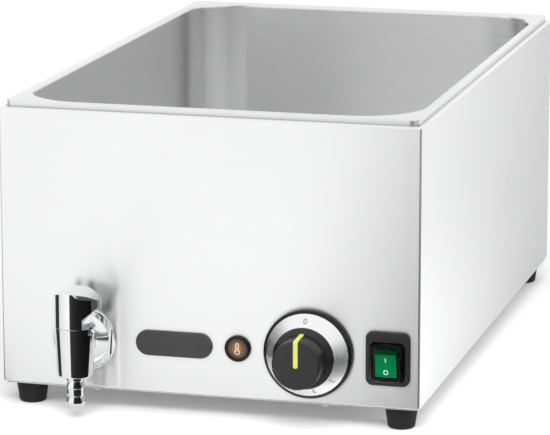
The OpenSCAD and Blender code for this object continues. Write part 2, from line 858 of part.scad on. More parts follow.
// Room under the beak: an upright wall at the notch, then a slope out to the tip
module handle_notch() {
    out = 2 * beak_reach;
    rotate([90, 0, 0]) linear_extrude(4 * tap_r, center = true) polygon([
        [notch_x, -past], [out, -past], [out, notch_h + (out - notch_x) * tan(beak_slope)], [notch_x, notch_h]
    ]);
}

// Drain under the tank's floor

module pipe_section(d, bore) {
    difference() {
        circle(d = d);
        circle(d = bore);
    }
}

// Quarter bend in the upright plane along Y: turns through 90 degrees from the given angle
module upright_bend(r, from) {
    rotate([90, 0, 90]) rotate([0, 0, from]) rotate_extrude(angle = 90) translate([r, 0]) children();
}

module drain_elbow() color(zinc) {
    run = drain_y - drain_bend_r - front_y - shank_in;
    drop = under_z - control_z - drain_bend_r;
    translate([tap_x, drain_y, control_z + drain_bend_r]) linear_extrude(drop)
        pipe_section(shank_d, drain_bore);
    translate([tap_x, drain_y, under_z - drain_collar_t]) linear_extrude(drain_collar_t)
        pipe_section(shank_d + 2 * drain_collar_w, drain_bore);
    translate([tap_x, drain_y - drain_bend_r, control_z + drain_bend_r])
        upright_bend(drain_bend_r, -90) pipe_section(shank_d, drain_bore);
    at_panel(tap_x) translate([0, 0, -shank_in - run]) linear_extrude(run)
        pipe_section(shank_d, drain_bore);
}

module drain_coupling() color(brass) at_panel(tap_x) translate([0, 0, -shank_in - coupling_l / 2])
    hex_nut(coupling_af, coupling_l, shank_d + 2 * fit_gap);

// Thermostat, its dial and its knob

module thermostat_body() color(white) at_panel(dial_x) difference() {
    union() {
        translate([0, 0, -sheet_t - bracket_t]) linear_extrude(bracket_t)
            square([bracket_w, bracket_h], center = true);
        translate([0, 0, -sheet_t - bracket_t - thermostat_l]) linear_extrude(thermostat_l)
            round_rect(thermostat_w, thermostat_h, thermostat_r);
        translate([0, 0, -sheet_t - bracket_t]) cylinder(d = bush_d, h = sheet_t + bracket_t + bush_out);
    }
    translate([0, 0, -shaft_in - move_gap]) cylinder(d = shaft_d + 2 * run_gap, h = shaft_in + bush_d);
    for (x = [-1, 1]) translate([x * thermostat_screw_x, 0, -sheet_t - bracket_t - past])
        cylinder(d = m4_d + 2 * fit_gap, h = bracket_t + 2 * past);
}

module thermostat_screws() color(zinc) at_panel(dial_x)
    for (x = [-1, 1]) translate([x * thermostat_screw_x, 0]) mirror([0, 0, 1])
        pan_screw(m4_d, sheet_t + bracket_t + thread_past, small_head_d, small_head_h);

module thermostat_shaft() color(zinc) at_panel(dial_x) difference() {
    translate([0, 0, -shaft_in]) cylinder(d = shaft_d, h = shaft_in + shaft_out);
    shaft_flat(0);
}

// Flat along the shaft's front end that drives the knob
module shaft_flat(gap) {
    translate([-shaft_d, shaft_d / 4 + gap, shaft_out - flat_l]) cube([2 * shaft_d, shaft_d, flat_l + past]);
}

module dial_bezel() color(black) at_panel(dial_x) rotate_extrude() {
    seat = dial_h - scale_t;
    rim_r = scale_d / 2 + fit_gap;
    wall_r = dial_d / 2;
    polygon([
        [dial_bore / 2, seat - dial_seat_t], [dial_bore / 2, seat], [rim_r, seat], [rim_r, dial_h],
        [rim_r + dial_land, dial_h], [wall_r, dial_h - dial_bevel], [wall_r, 0], [wall_r - dial_wall, 0],
        [wall_r - dial_wall, seat - dial_seat_t]
    ]);
}

module dial_scale() color(steel) at_panel(dial_x) rotate_extrude() {
    foot_r = scale_d / 2;
    top_r = scale_top_d / 2;
    top = dial_h + scale_rise;
    polygon([
        [foot_r, dial_h - scale_t], [foot_r, dial_h], [top_r, top], [top_r - scale_wall, top],
        [foot_r - scale_wall, dial_h], [foot_r - scale_wall, dial_h - scale_t]
    ]);
}

// Outline of the knob, grown or shrunk all round
module knob_form(grow) {
    edge = 1.6;
    face_r = knob_face_d / 2 + grow;
    base_r = knob_base_d / 2 + grow;
    top = knob_reach + grow;
    rotate_extrude() {
        polygon([
            [0, knob_z0], [base_r, knob_z0], [base_r, knob_z0 + flange_t], [face_r + knob_taper, knob_neck_z],
            [face_r, top - edge], [face_r - edge, top], [0, top]
        ]);
        translate([face_r - edge, top - edge]) circle(edge);
    }
}

module knob_hollow() {
    rotate_extrude() polygon([
        [hub_r, knob_z0 - past], [knob_face_d / 2 + knob_taper - knob_wall, knob_z0 - past],
        [knob_face_d / 2 - knob_wall, knob_reach - 2 * knob_wall], [hub_r, knob_reach - 2 * knob_wall]
    ]);
}

// Stripe from the middle of the face, over its edge and part of the way down the side to a round end
module pointer_band() {
    high = knob_reach + past;
    end = knob_neck_z + pointer_w / 2;
    translate([-pointer_w / 2, 0, end]) cube([pointer_w, knob_base_d, high - end]);
    translate([0, 0, end]) rotate([-90, 0, 0]) cylinder(d = pointer_w, h = knob_base_d);
    translate([0, 0, end]) cylinder(d = pointer_w, h = high - end);
}

module knob() color(black) at_panel(dial_x) difference() {
    union() {
        difference() {
            knob_form(0);
            knob_hollow();
        }
        intersection() {
            knob_hollow();
            for (a = [45, 135]) rotate(a) translate([-knob_base_d, -knob_rib_t / 2, knob_z0 + knob_rib_rise])
                cube([2 * knob_base_d, knob_rib_t, knob_reach]);
        }
    }
    difference() {
        translate([0, 0, knob_z0 - past])
            cylinder(d = shaft_d + 2 * fit_gap, h = shaft_out - knob_z0 + past + move_gap);
        shaft_flat(fit_gap);
    }
    difference() {
        pointer_band();
        knob_form(-pointer_deep);
    }
}

module knob_pointer() color([0.85, 0.86, 0.42]) at_panel(dial_x) difference() {
    intersection() {
        pointer_band();
        knob_form(pointer_proud);
    }
    knob_form(-pointer_deep);
}

// Sensor bulb held under the tank's floor, and its capillary to the thermostat

module sensor_bulb() color(brass) translate([dial_x, bulb_y, under_z - bulb_d / 2]) rotate([90, 0, 0]) {
    cylinder(d = bulb_d, h = bulb_l, center = true);
    translate([0, 0, -bulb_l / 2]) sphere(d = bulb_d);
}

module sensor_clip() color(steel) translate([dial_x, bulb_y, under_z]) rotate([90, 0, 0])
    linear_extrude(clip_w, center = true) for (s = [0, 1]) mirror([s, 0]) {
        r = bulb_d / 2 + fit_gap;
        translate([r, -bulb_d / 2]) square([sheet_t, bulb_d / 2]);
        translate([r, -sheet_t]) square([clip_tab, sheet_t]);
        translate([0, -bulb_d / 2]) difference() {
            quarter_disc(r + sheet_t);
            circle(r);
        }
    }

module sensor_capillary() color(brass) {
    high_z = under_z - bulb_d / 2;
    low_z = control_z;
    r = capillary_bend_r;
    back_y = front_y + sheet_t + bracket_t + thermostat_l;
    bulb_end = bulb_y - bulb_l / 2;
    translate([dial_x, bulb_end, high_z]) rotate([90, 0, 0])
        cylinder(d = capillary_d, h = bulb_end - capillary_y - r);
    translate([dial_x, capillary_y + r, high_z - r]) upright_bend(r, 90) circle(d = capillary_d);
    translate([dial_x, capillary_y, low_z + r]) cylinder(d = capillary_d, h = high_z - low_z - 2 * r);
    translate([dial_x, capillary_y - r, low_z + r]) upright_bend(r, -90) circle(d = capillary_d);
    translate([dial_x, capillary_y - r, low_z]) rotate([90, 0, 0])
        cylinder(d = capillary_d, h = capillary_y - r - back_y);
}

// Pilot lamp

module lamp_holder() color(black) at_panel(lamp_x) rotate_extrude() difference() {
    union() {
        square([lamp_d / 2 - lamp_proud / 2, lamp_proud]);
        square([lamp_d / 2, lamp_proud / 2]);
        translate([lamp_d / 2 - lamp_proud / 2, lamp_proud / 2]) circle(d = lamp_proud);
        translate([0, -barrel_l]) square([barrel_d / 2, barrel_l + past]);
    }
    translate([0, -lens_deep]) square([lens_d / 2 + fit_gap, lens_deep + lamp_proud + past]);
}

module lamp_lens() color([0.72, 0.45, 0.16]) at_panel(lamp_x) rotate_extrude() {
    translate([0, -lens_deep]) square([lens_d / 2, lens_deep + lamp_proud - lens_crown]);
    intersection() {
        translate([0, lamp_proud - lens_d]) circle(lens_d);
        square([lens_d / 2, lamp_proud]);
    }
}

module lamp_nut() color(black) at_panel(lamp_x) translate([0, 0, -sheet_t - lamp_nut_h])
    hex_nut(barrel_d + 2 * lamp_nut_w, lamp_nut_h, barrel_d + 2 * fit_gap);

// Mains switch: a rocker under a splash boot, framed against the panel

module at_switch() {
    at_panel(switch_x, switch_z) children();
}

module boot_form(w, h, reach, corner_r, edge_r) {
    translate([0, 0, reach]) mirror([0, 0, 1]) drawn_form(w, h, reach, corner_r, edge_r);
}

module switch_frame() color(black) difference() {
    at_panel(switch_x) boot_form(frame_w, frame_h, frame_t, frame_corner_r, frame_edge_r);
    at_switch() translate([0, 0, -past]) linear_extrude(frame_t + 2 * past)
        round_rect(boot_w + 2 * (boot_flare + fit_gap), boot_h + 2 * (boot_flare + fit_gap),
                   boot_corner_r + boot_flare);
}

module switch_boot() color([0.2, 0.22, 0.2, 0.5]) at_switch() difference() {
    union() {
        boot_form(boot_w, boot_h, boot_reach, boot_corner_r, boot_edge_r);
        for (i = [1 : boot_ledges])
            boot_form(boot_w + 2 * i * boot_ledge_w, boot_h + 2 * i * boot_ledge_w,
                      boot_ledge_z + (boot_ledges - i) * boot_ledge_h,
                      boot_corner_r + i * boot_ledge_w, boot_ledge_w);
    }
    translate([0, 0, -past])
        boot_form(boot_w - 2 * boot_wall, boot_h - 2 * boot_wall, boot_reach - boot_wall + past,
                  boot_corner_r - boot_wall, boot_edge_r - boot_wall);
}

// Switch housing behind the panel, with a flange inside the boot and two cheeks for the rocker's pivot
module switch_body() color(black) at_switch() difference() {
    lip = 2 * (boot_wall + fit_gap);
    union() {
        translate([0, 0, -switch_deep]) linear_extrude(switch_deep)
            square([switch_body_w, switch_body_h], center = true);
        linear_extrude(switch_flange_t)
            round_rect(boot_w - lip, boot_h - lip, boot_corner_r - boot_wall - fit_gap);
        linear_extrude(cheek_z) square([switch_body_w, cheek_h], center = true);
    }
    translate([0, 0, pivot_z - rocker_back - rocker_pit]) linear_extrude(rocker_back + switch_deep)
        square([rocker_w + 2 * move_gap, rocker_h + 2 * rocker_room], center = true);
    translate([0, 0, pivot_z]) rotate([0, 90, 0])
        cylinder(d = pivot_d + 2 * run_gap, h = rocker_w + 2 * (move_gap + pivot_l), center = true);
}

// Rocker in its off position, with the lower half pressed in
module switch_rocker() color([0.05, 0.5, 0.24]) at_switch()
    translate([0, 0, pivot_z]) rotate([rocker_tilt, 0, 0]) {
        rotate([90, 0, 90]) linear_extrude(rocker_w, center = true) rocker_section();
        rotate([0, 90, 0]) cylinder(d = pivot_d, h = rocker_w + 2 * pivot_l, center = true);
    }

module rocker_section() {
    face = rocker_face_z - pivot_z;
    heel = rocker_h / 2 - rocker_heel_w;
    heel_z = rocker_heel_h - rocker_back;
    polygon([
        [-heel, -rocker_back], [heel, -rocker_back], [rocker_h / 2, heel_z], [rocker_h / 2, face],
        [0, face - rocker_dish], [-rocker_h / 2, face], [-rocker_h / 2, heel_z]
    ]);
}

// Bare name plate with a bevelled edge
module name_plate() color(dark_grey) at_panel(plate_x) {
    run = plate_l - plate_h;
    bevel = plate_t / 2;
    for (x = [-1, 1]) translate([x * run / 2, 0]) {
        cylinder(d = plate_h, h = plate_t - bevel);
        translate([0, 0, plate_t - bevel]) cylinder(d1 = plate_h, d2 = plate_h - 2 * bevel, h = bevel);
    }
    rotate([90, 0, 90]) linear_extrude(run, center = true) polygon([
        [-plate_h / 2, 0], [plate_h / 2, 0], [plate_h / 2, plate_t - bevel], [plate_h / 2 - bevel, plate_t],
        [-plate_h / 2 + bevel, plate_t], [-plate_h / 2, plate_t - bevel]
    ]);
}

// Heater under the tank's floor

module heating_element() color(zinc) translate([0, body_y, element_z]) {
    for (i = [0 : leg_count - 1])
        translate([(i - (leg_count - 1) / 2) * leg_pitch, leg_rear]) rotate([90, 0, 0])
            cylinder(d = element_d, h = leg_rear - leg_front);
    for (i = [0 : leg_count - 2])
        translate([(i - leg_count / 2 + 1) * leg_pitch, i % 2 == 0 ? leg_rear : leg_front]) mirror([0, i % 2])
            rotate_extrude(angle = 180) translate([leg_pitch / 2, 0]) circle(d = element_d);
    for (x = [-1, 1]) translate([x * leg_pitch * (leg_count - 1) / 2, leg_front, -terminal_bend_r]) {
        upright_bend(terminal_bend_r, 90) circle(d = element_d);
        translate([0, -terminal_bend_r, -terminal_l]) cylinder(d = element_d, h = terminal_l);
        translate([0, -terminal_bend_r, -terminal_l - pin_l]) cylinder(d = pin_d, h = pin_l + past);
    }
}

module heater_clamp(y) {
    color(steel) translate([0, y, under_z - element_d - clamp_t]) difference() {
        linear_extrude(clamp_t) round_rect(clamp_l, clamp_w, clamp_r);
        for (x = [-1, 1]) translate([x * stud_x, 0, -past])
            cylinder(d = m5_d + 2 * fit_gap, h = clamp_t + 2 * past);
    }
}

module heater_clamp_front() heater_clamp(clamp_front_y);
module heater_clamp_rear() heater_clamp(clamp_rear_y);

module at_studs(z) {
    for (x = [-1, 1], y = [clamp_front_y, clamp_rear_y]) translate([x * stud_x, y, z]) children();
}

module clamp_studs() color(zinc) {
    l = element_d + clamp_t + m5_nut_h + thread_past;
    at_studs(under_z - l) cylinder(d = m5_d, h = l);
}

module clamp_nuts() color(zinc) at_studs(under_z - element_d - clamp_t - m5_nut_h)
    hex_nut(m5_nut_af, m5_nut_h, m5_d + 2 * fit_gap);

// Cable gland at the rear, with no cord in it

module at_gland() {
    at_rear(gland_x, casing_z + gland_rise) children();
}

module gland_body() color(black) at_gland() difference() {
    union() {
        hex_prism(gland_af, gland_hex_h);
        translate([0, 0, -gland_tail]) cylinder(d = gland_d, h = gland_mouth + gland_tail);
    }
    translate([0, 0, -gland_tail - past]) cylinder(d = cord_d + cord_room, h = 2 * gland_reach);
    translate([0, 0, gland_hex_h]) cylinder(d = gland_d - 2 * gland_wall, h = gland_reach);
}

module gland_seal() color(dark_grey) at_gland() translate([0, 0, gland_hex_h])
    linear_extrude(gland_mouth - gland_hex_h)
        pipe_section(gland_d - 2 * gland_wall - 2 * fit_gap, cord_d);

module gland_cap() color(black) at_gland() difference() {
    union() {
        translate([0, 0, gland_hex_h + seam_gap]) hex_prism(gland_af, gland_cap_hex_h);
        translate([0, 0, gland_reach]) mirror([0, 0, 1]) rotate_extrude() {
            translate([0, cap_round])
                square([gland_af / 2, gland_reach - gland_hex_h - seam_gap - cap_round]);
            square([gland_af / 2 - cap_round, cap_round]);
            translate([gland_af / 2 - cap_round, cap_round]) quarter_disc(cap_round);
        }
    }
    translate([0, 0, gland_hex_h])
        cylinder(d = gland_d + 2 * fit_gap, h = gland_mouth + fit_gap - gland_hex_h);
    cylinder(d = cord_d + cord_room, h = 2 * gland_reach);
}

module gland_locknut() color(black) at_gland() translate([0, 0, -sheet_t - gland_nut_h])
    hex_nut(gland_af, gland_nut_h, gland_d + 2 * fit_gap);

// Electrical pieces on the base plate

module safety_cutout() color(white) translate([cutout_x, cutout_y, casing_z]) {
    linear_extrude(cutout_h) round_rect(cutout_w, cutout_w, cutout_r);
    translate([0, 0, -sheet_t - cutout_neck_l])
        cylinder(d = cutout_neck_d, h = cutout_neck_l + sheet_t + past);
}

module cutout_nut() color(zinc) translate([cutout_x, cutout_y, foot_h - cutout_nut_h])
    hex_nut(cutout_neck_d + 2 * cutout_nut_w, cutout_nut_h, cutout_neck_d + 2 * fit_gap);

module terminal_block() color(white) translate([block_x, block_y, casing_z]) difference() {
    linear_extrude(block_h) round_rect(block_l, block_w, block_r);
    for (i = [-1, 0, 1]) translate([i * block_l / 3, 0]) {
        for (y = [-1, 1]) translate([0, y * block_w / 4, block_h / 2]) cylinder(d = block_pit_d, h = block_h);
        translate([0, 0, block_h / 2 + block_way_up]) rotate([90, 0, 0])
            cylinder(d = block_way_d, h = 2 * block_w, center = true);
    }
    for (x = [-1, 1]) translate([x * block_screw_x, 0, -past])
        cylinder(d = small_d + 2 * fit_gap, h = block_screw_in + 2 * past);
}

module terminal_screws() color(zinc)
    for (x = [-1, 1]) translate([block_x + x * block_screw_x, block_y, foot_h])
        pan_screw(small_d, sheet_t + block_screw_in, small_head_d, small_head_h);

module earth_stud() color(zinc) translate([earth_x, earth_y, foot_h])
    pan_screw(m5_d, earth_l, foot_head_d, foot_head_h);

module earth_nuts() color(brass)
    for (i = [0, 1]) translate([earth_x, earth_y, casing_z + i * (m5_nut_h + seam_gap)])
        hex_nut(m5_nut_af, m5_nut_h, m5_d + 2 * fit_gap);

casing();
rear_panel();
base_plate();
tank();
foot_front_left();
foot_front_right();
foot_rear_left();
foot_rear_right();
foot_screws();
foot_nuts();
base_screws();
rear_screws();
tap_body();
tap_nozzle();
tap_rosette();
tap_locknut();
tap_plug();
tap_seals();
tap_handle();
drain_elbow();
drain_coupling();
thermostat_body();
thermostat_screws();
thermostat_shaft();
dial_bezel();
dial_scale();
knob();
knob_pointer();
sensor_bulb();
sensor_clip();
sensor_capillary();
lamp_holder();
lamp_lens();
lamp_nut();
switch_frame();
switch_body();
switch_rocker();
switch_boot();
name_plate();
heating_element();
heater_clamp_front();
heater_clamp_rear();
clamp_studs();
clamp_nuts();
gland_body();
gland_cap();
gland_seal();
gland_locknut();
safety_cutout();
cutout_nut();
terminal_block();
terminal_screws();
earth_stud();
earth_nuts();
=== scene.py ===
"""Looks of the countertop bain marie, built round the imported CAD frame. Metres, +Z up."""

import math

import bmesh
import bpy
from mathutils import Matrix, Vector


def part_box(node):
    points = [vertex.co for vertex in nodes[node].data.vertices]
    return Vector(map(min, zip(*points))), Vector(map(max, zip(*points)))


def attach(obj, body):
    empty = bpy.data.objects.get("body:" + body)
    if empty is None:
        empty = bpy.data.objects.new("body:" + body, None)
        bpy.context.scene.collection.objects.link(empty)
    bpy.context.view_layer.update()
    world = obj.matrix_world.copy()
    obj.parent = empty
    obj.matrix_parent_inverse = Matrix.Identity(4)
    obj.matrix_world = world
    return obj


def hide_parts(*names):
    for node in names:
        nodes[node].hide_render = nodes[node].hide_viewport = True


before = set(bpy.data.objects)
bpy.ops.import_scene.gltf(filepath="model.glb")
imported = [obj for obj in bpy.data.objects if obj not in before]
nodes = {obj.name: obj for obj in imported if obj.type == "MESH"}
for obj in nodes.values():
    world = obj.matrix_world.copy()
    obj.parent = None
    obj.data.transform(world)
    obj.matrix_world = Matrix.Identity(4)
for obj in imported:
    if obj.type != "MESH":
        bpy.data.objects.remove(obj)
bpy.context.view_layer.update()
scene = bpy.context.scene
MM = 0.001


# Materials

# the part of a noise's range that is used, and the places of a ramp's two tones
NOISE_LOW, NOISE_HIGH = 0.25, 0.75
TONE_LOW, TONE_HIGH = 0.3, 0.7


def wire_maths(tree, kind, *sources, clamp=False):
    """Math node fed by numbers or by the outputs of other nodes."""
    node = tree.nodes.new("ShaderNodeMath")
    node.operation = kind
    node.use_clamp = clamp
    for socket, source in zip(node.inputs, sources):
        if isinstance(source, (int, float)):
            socket.default_value = source
        else:
            tree.links.new(source, socket)
    return node.outputs[0]


class Look:
    """One Principled material and short ways to wire nodes into it."""

    def __init__(self, name, **sockets):
        self.mat = bpy.data.materials.new(name)
        self.mat.use_nodes = True
        self.tree = self.mat.node_tree
        self.shader = self.tree.nodes["Principled BSDF"]
        self.set(self.shader, sockets)

    def set(self, node, sockets):
        for key, value in sockets.items():
            node.inputs[key.replace("_", " ")].default_value = value

    def add(self, kind, links=(), props=(), **sockets):
        node = self.tree.nodes.new(kind)
        for key, value in dict(props).items():
            setattr(node, key, value)
        self.set(node, sockets)
        for key, source in dict(links).items():
            self.tree.links.new(source, node.inputs[key])
        return node

    def to(self, socket, source):
        self.tree.links.new(source, self.shader.inputs[socket])

    def place(self, scale=(1, 1, 1), shift=(0, 0, 0)):
        """Coordinates in metres on the resting object, scaled per axis."""
        coords = self.add("ShaderNodeTexCoord").outputs["Object"]
        return self.add("ShaderNodeMapping", {"Vector": coords}, Scale=scale,
                        Location=shift).outputs["Vector"]

    def noise(self, cells, detail=3.0, roughness=0.55):
        """Noise with so many cells a metre on each axis."""
        return self.add("ShaderNodeTexNoise", {"Vector": self.place(cells)}, Scale=1.0,
                        Detail=detail, Roughness=roughness).outputs["Fac"]

    def maths(self, kind, *sources):
        return wire_maths(self.tree, kind, *sources)

    def vector(self, kind, links):
        return self.add("ShaderNodeVectorMath", links, {"operation": kind})

    def along(self, source, direction):
        """How far a vector reaches along a direction."""
        dot = self.vector("DOT_PRODUCT", {0: source})
        dot.inputs[1].default_value = direction
        return dot.outputs["Value"]

    def length(self, source):
        return self.vector("LENGTH", {0: source}).outputs["Value"]

    def span(self, source, low, high, start=NOISE_LOW, stop=NOISE_HIGH):
        """Maps a value from start..stop to low..high."""
        return self.add("ShaderNodeMapRange", {"Value": source}, From_Min=start, From_Max=stop,
                        To_Min=low, To_Max=high).outputs["Result"]

    def tones(self, source, stops):
        """Colour ramp from (place, colour) stops."""
        node = self.add("ShaderNodeValToRGB", {"Fac": source})
        ramp = node.color_ramp
        while len(ramp.elements) < len(stops):
            ramp.elements.new(0.5)
        for element, (where, colour) in zip(ramp.elements, stops):
            element.position = where
            element.color = (*colour, 1)
        return node.outputs["Color"]

    def two_tone(self, source, dark, pale):
        return self.tones(source, [(TONE_LOW, dark), (TONE_HIGH, pale)])

    def bump(self, height, strength, depth):
        bump = self.add("ShaderNodeBump", {"Height": height}, Strength=strength, Distance=depth)
        self.to("Normal", bump.outputs["Normal"])


def shade(colour, factor):
    return tuple(min(1.0, c * factor) for c in colour)


# noise cells a metre
SHEET_CLOUDS = (7, 7, 7)
PLATING_MARKS, PLATING_CLOUDS = (260, 260, 90), (60, 60, 60)
MOULD_CLOUDS = (45, 45, 45)
BOOT_CLOUDS = (90, 90, 90)
ROCKER_RIBS = (1900, 60, 260)

SHEET_PATCHES = 0.02
SCRATCH_DEPTH = 0.02 * MM
# painted shade: sheet darkened where it meets other pieces: how far out, how dark, and the
# shares of open surroundings at which the painted shade is darkest and gone
SEAM_SHADE_REACH = 4 * MM
SEAM_SHADE_DARKEST = 0.66
SEAM_SHADE_SHUT, SEAM_SHADE_OPEN = 0.45, 0.95
SEAM_SHADE_SAMPLES = 8
# quarter turn that lays the gloss across the grain
CROSS_GRAIN = 0.25


def brushed(name, colour, rough, grain, aniso=0.0, turn=0.0, axis="Z", soft=0.04, contrast=0.05,
            scratch=0.12, seam_shade=0.0):
    """Brushed sheet: long streaks that are fine across, and painted shade where pieces meet."""
    look = Look(name, Metallic=1.0, Anisotropic=aniso, Anisotropic_Rotation=turn)
    streaks = look.noise(grain, detail=5.0, roughness=0.7)
    clouds = look.noise(SHEET_CLOUDS, detail=2.0)
    tint = look.two_tone(streaks, shade(colour, 1 - contrast), shade(colour, 1 + contrast))
    # painted shade: ambient occlusion darkens the colour in creases and where pieces meet
    if seam_shade:
        around = look.add("ShaderNodeAmbientOcclusion", (), {"samples": SEAM_SHADE_SAMPLES},
                          Distance=seam_shade).outputs["AO"]
        painted_shade = look.span(around, SEAM_SHADE_DARKEST, 1.0, SEAM_SHADE_SHUT, SEAM_SHADE_OPEN)
        tint = look.vector("SCALE", {0: tint, "Scale": painted_shade}).outputs["Vector"]
    look.to("Base Color", tint)
    grain_rough = look.span(streaks, rough - soft, rough + soft)
    patches = look.span(clouds, -SHEET_PATCHES, SHEET_PATCHES)
    look.to("Roughness", look.maths("ADD", grain_rough, patches))
    look.bump(streaks, scratch, SCRATCH_DEPTH)
    if aniso:
        tangent = look.add("ShaderNodeTangent", (), {"direction_type": "RADIAL", "axis": axis})
        look.to("Tangent", tangent.outputs["Tangent"])
    return look.mat


BEVEL_SAMPLES = 6
PLATING_DIM = 0.97


def plated(name, colour, rough, wear=0.03, edge=0.0):
    """Bright plating with faint wipe marks and softened edges."""
    look = Look(name, Metallic=1.0)
    marks = look.noise(PLATING_MARKS, detail=4.0, roughness=0.7)
    clouds = look.noise(PLATING_CLOUDS, detail=2.0)
    look.to("Base Color", look.two_tone(clouds, shade(colour, PLATING_DIM), colour))
    look.to("Roughness", look.span(marks, rough, rough + wear))
    if edge:
        bevel = look.add("ShaderNodeBevel", (), {"samples": BEVEL_SAMPLES}, Radius=edge)
        look.to("Normal", bevel.outputs["Normal"])
    return look.mat


MOULD_CONTRAST = 0.12
MOULD_SHEEN = 0.05


def moulded(name, colour, rough, grain=1800, depth=0.03 * MM, strength=0.15, **sockets):
    """Moulded plastic or rubber with a fine eroded skin."""
    look = Look(name, **sockets)
    skin = look.noise((grain, grain, grain), detail=2.0)
    clouds = look.noise(MOULD_CLOUDS)
    look.to("Base Color", look.two_tone(clouds, shade(colour, 1 - MOULD_CONTRAST),
                                        shade(colour, 1 + MOULD_CONTRAST)))
    look.to("Roughness", look.span(clouds, rough - MOULD_SHEEN, rough + MOULD_SHEEN))
    look.bump(skin, strength, depth)
    return look.mat


casing_steel = brushed("casing_steel", (0.92, 0.922, 0.925), 0.30, (23, 21, 1200), aniso=0.75,
                       turn=CROSS_GRAIN, soft=0.015, contrast=0.012, scratch=0.012,
                       seam_shade=SEAM_SHADE_REACH)
plain_steel = brushed("plain_steel", (0.70, 0.70, 0.71), 0.34, (1400, 9, 1400))
tank_steel = brushed("tank_steel", (0.860, 0.861, 0.863), 0.30, (14, 14, 1500), aniso=0.75,
                     turn=CROSS_GRAIN, contrast=0.02, scratch=0.06, seam_shade=SEAM_SHADE_REACH)
dial_metal = brushed("dial_metal", (0.94, 0.942, 0.945), 0.26, (40, 40, 40), aniso=0.85,
                     axis="Y", soft=0.02, contrast=0.01, scratch=0.02)
sheath = brushed("element_sheath", (0.30, 0.285, 0.27), 0.42, (220, 220, 220), contrast=0.12)
chrome = plated("chrome", (0.90, 0.905, 0.91), 0.03, edge=0.5 * MM)
zinc = plated("zinc", (0.62, 0.63, 0.64), 0.28, 0.12)
brass = plated("brass", (0.80, 0.60, 0.27), 0.22, 0.14)
foot_rubber = moulded("foot_rubber", (0.011, 0.011, 0.0113), 0.62, grain=1500, strength=0.25,
                      Specular_IOR_Level=0.25)
seal_rubber = moulded("seal_rubber", (0.03, 0.03, 0.03), 0.55)
black_plastic = moulded("black_plastic", (0.004, 0.004, 0.0042), 0.26, grain=2200,
                        strength=0.08, Specular_IOR_Level=0.3)
frame_black = moulded("frame_black", (0.012, 0.012, 0.0123), 0.42, grain=1700, strength=0.2)
gloss_black = moulded("gloss_black", (0.003, 0.003, 0.003), 0.10, strength=0.03,
                      Specular_IOR_Level=0.32)
knob_plastic = moulded("knob_plastic", (0.010, 0.010, 0.0103), 0.24, grain=2600, strength=0.05,
                       Specular_IOR_Level=0.5)
pointer_yellow = moulded("pointer_yellow", (0.56, 0.60, 0.12), 0.40, strength=0.08)
plate_grey = moulded("plate_grey", (0.043, 0.043, 0.0437), 0.48, grain=1300, strength=0.35,
                     depth=0.06 * MM, Specular_IOR_Level=0.35)
white_insulator = moulded("white_insulator", (0.78, 0.77, 0.73), 0.5)
print_dark = moulded("print_dark", (0.12, 0.12, 0.125), 0.6, strength=0.05)
print_white = moulded("print_white", (0.80, 0.90, 0.84), 0.5, strength=0.05)
print_cream = moulded("print_cream", (0.66, 0.56, 0.40), 0.45, strength=0.05)


def clear_boot():
    look = Look("boot_clear", Transmission_Weight=1.0, IOR=1.09)
    clouds = look.noise(BOOT_CLOUDS)
    look.to("Base Color", look.two_tone(clouds, (0.86, 0.90, 0.87), (0.91, 0.95, 0.92)))
    look.to("Roughness", look.span(clouds, 0.02, 0.06))
    return look.mat


# painted shade on the rocker where its face turns from the front: level there, and the cosines
ROCKER_SHADE_LEVEL = 0.12
ROCKER_AWAY, ROCKER_FACING = 0.75, 0.92
ROCKER_GREEN = (0.0, 0.155, 0.046)
RIB_DIM = 0.78
RIB_DEPTH = 0.04 * MM


def green_rocker():
    """Translucent green with fine upright ribs inside, and painted shade on its sides and ends."""
    look = Look("rocker_green", Specular_IOR_Level=0.06, Subsurface_Weight=0.15,
                Subsurface_Scale=0.002)
    ribs = look.noise(ROCKER_RIBS, detail=2.0)
    facing = look.along(look.add("ShaderNodeTexCoord").outputs["Normal"], (0, -1, 0))
    # painted shade: darker where the face turns away from the front
    depth = look.span(facing, ROCKER_SHADE_LEVEL, 1.0, ROCKER_AWAY, ROCKER_FACING)
    glow = look.maths("MULTIPLY", depth, look.span(ribs, RIB_DIM, 1.0, TONE_LOW, TONE_HIGH))
    look.to("Base Color", look.tones(glow, [(0.0, (0, 0, 0)), (1.0, ROCKER_GREEN)]))
    look.to("Roughness", look.span(ribs, 0.22, 0.34))
    look.bump(ribs, 0.1, RIB_DEPTH)
    return look.mat


# rings moulded in the lens: radians a metre, how far they shift the tones, and their depth
RING_RATE = 5200
RING_SHIFT = 0.09
RING_DEPTH = 0.2 * MM
# tones from the lens's heart to its edge
AMBER = [(0.0, (0.30, 0.14, 0.042)), (0.50, (0.22, 0.088, 0.016)), (0.68, (0.13, 0.045, 0.008)),
         (0.80, (0.045, 0.02, 0.008)), (1.0, (0.015, 0.01, 0.007))]


def amber_lens(centre, radius):
    """Amber lens with rings moulded inside, a paler heart and a dark edge."""
    look = Look("lens_amber", Coat_Weight=0.8, Coat_Roughness=0.06, Subsurface_Weight=0.1,
                Subsurface_Scale=0.002)
    out = look.length(look.place(shift=-centre))
    rings = look.maths("SINE", look.maths("MULTIPLY", out, RING_RATE))
    reach = look.maths("ADD", look.span(out, 0, 1, 0.0, radius),
                       look.span(rings, -RING_SHIFT, RING_SHIFT, -1, 1))
    look.to("Base Color", look.tones(reach, AMBER))
    look.to("Roughness", look.span(rings, 0.14, 0.26, -1, 1))
    look.bump(rings, 0.25, RING_DEPTH)
    return look.mat


def middle(name):
    low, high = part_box(name)
    return (low + high) / 2


lens_low, lens_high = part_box("lamp_lens")
lens_front = Vector((middle("lamp_lens").x, lens_low.y, middle("lamp_lens").z))
lens_amber = amber_lens(lens_front, (lens_high.x - lens_low.x) / 2)
boot_clear = clear_boot()
rocker_green = green_rocker()

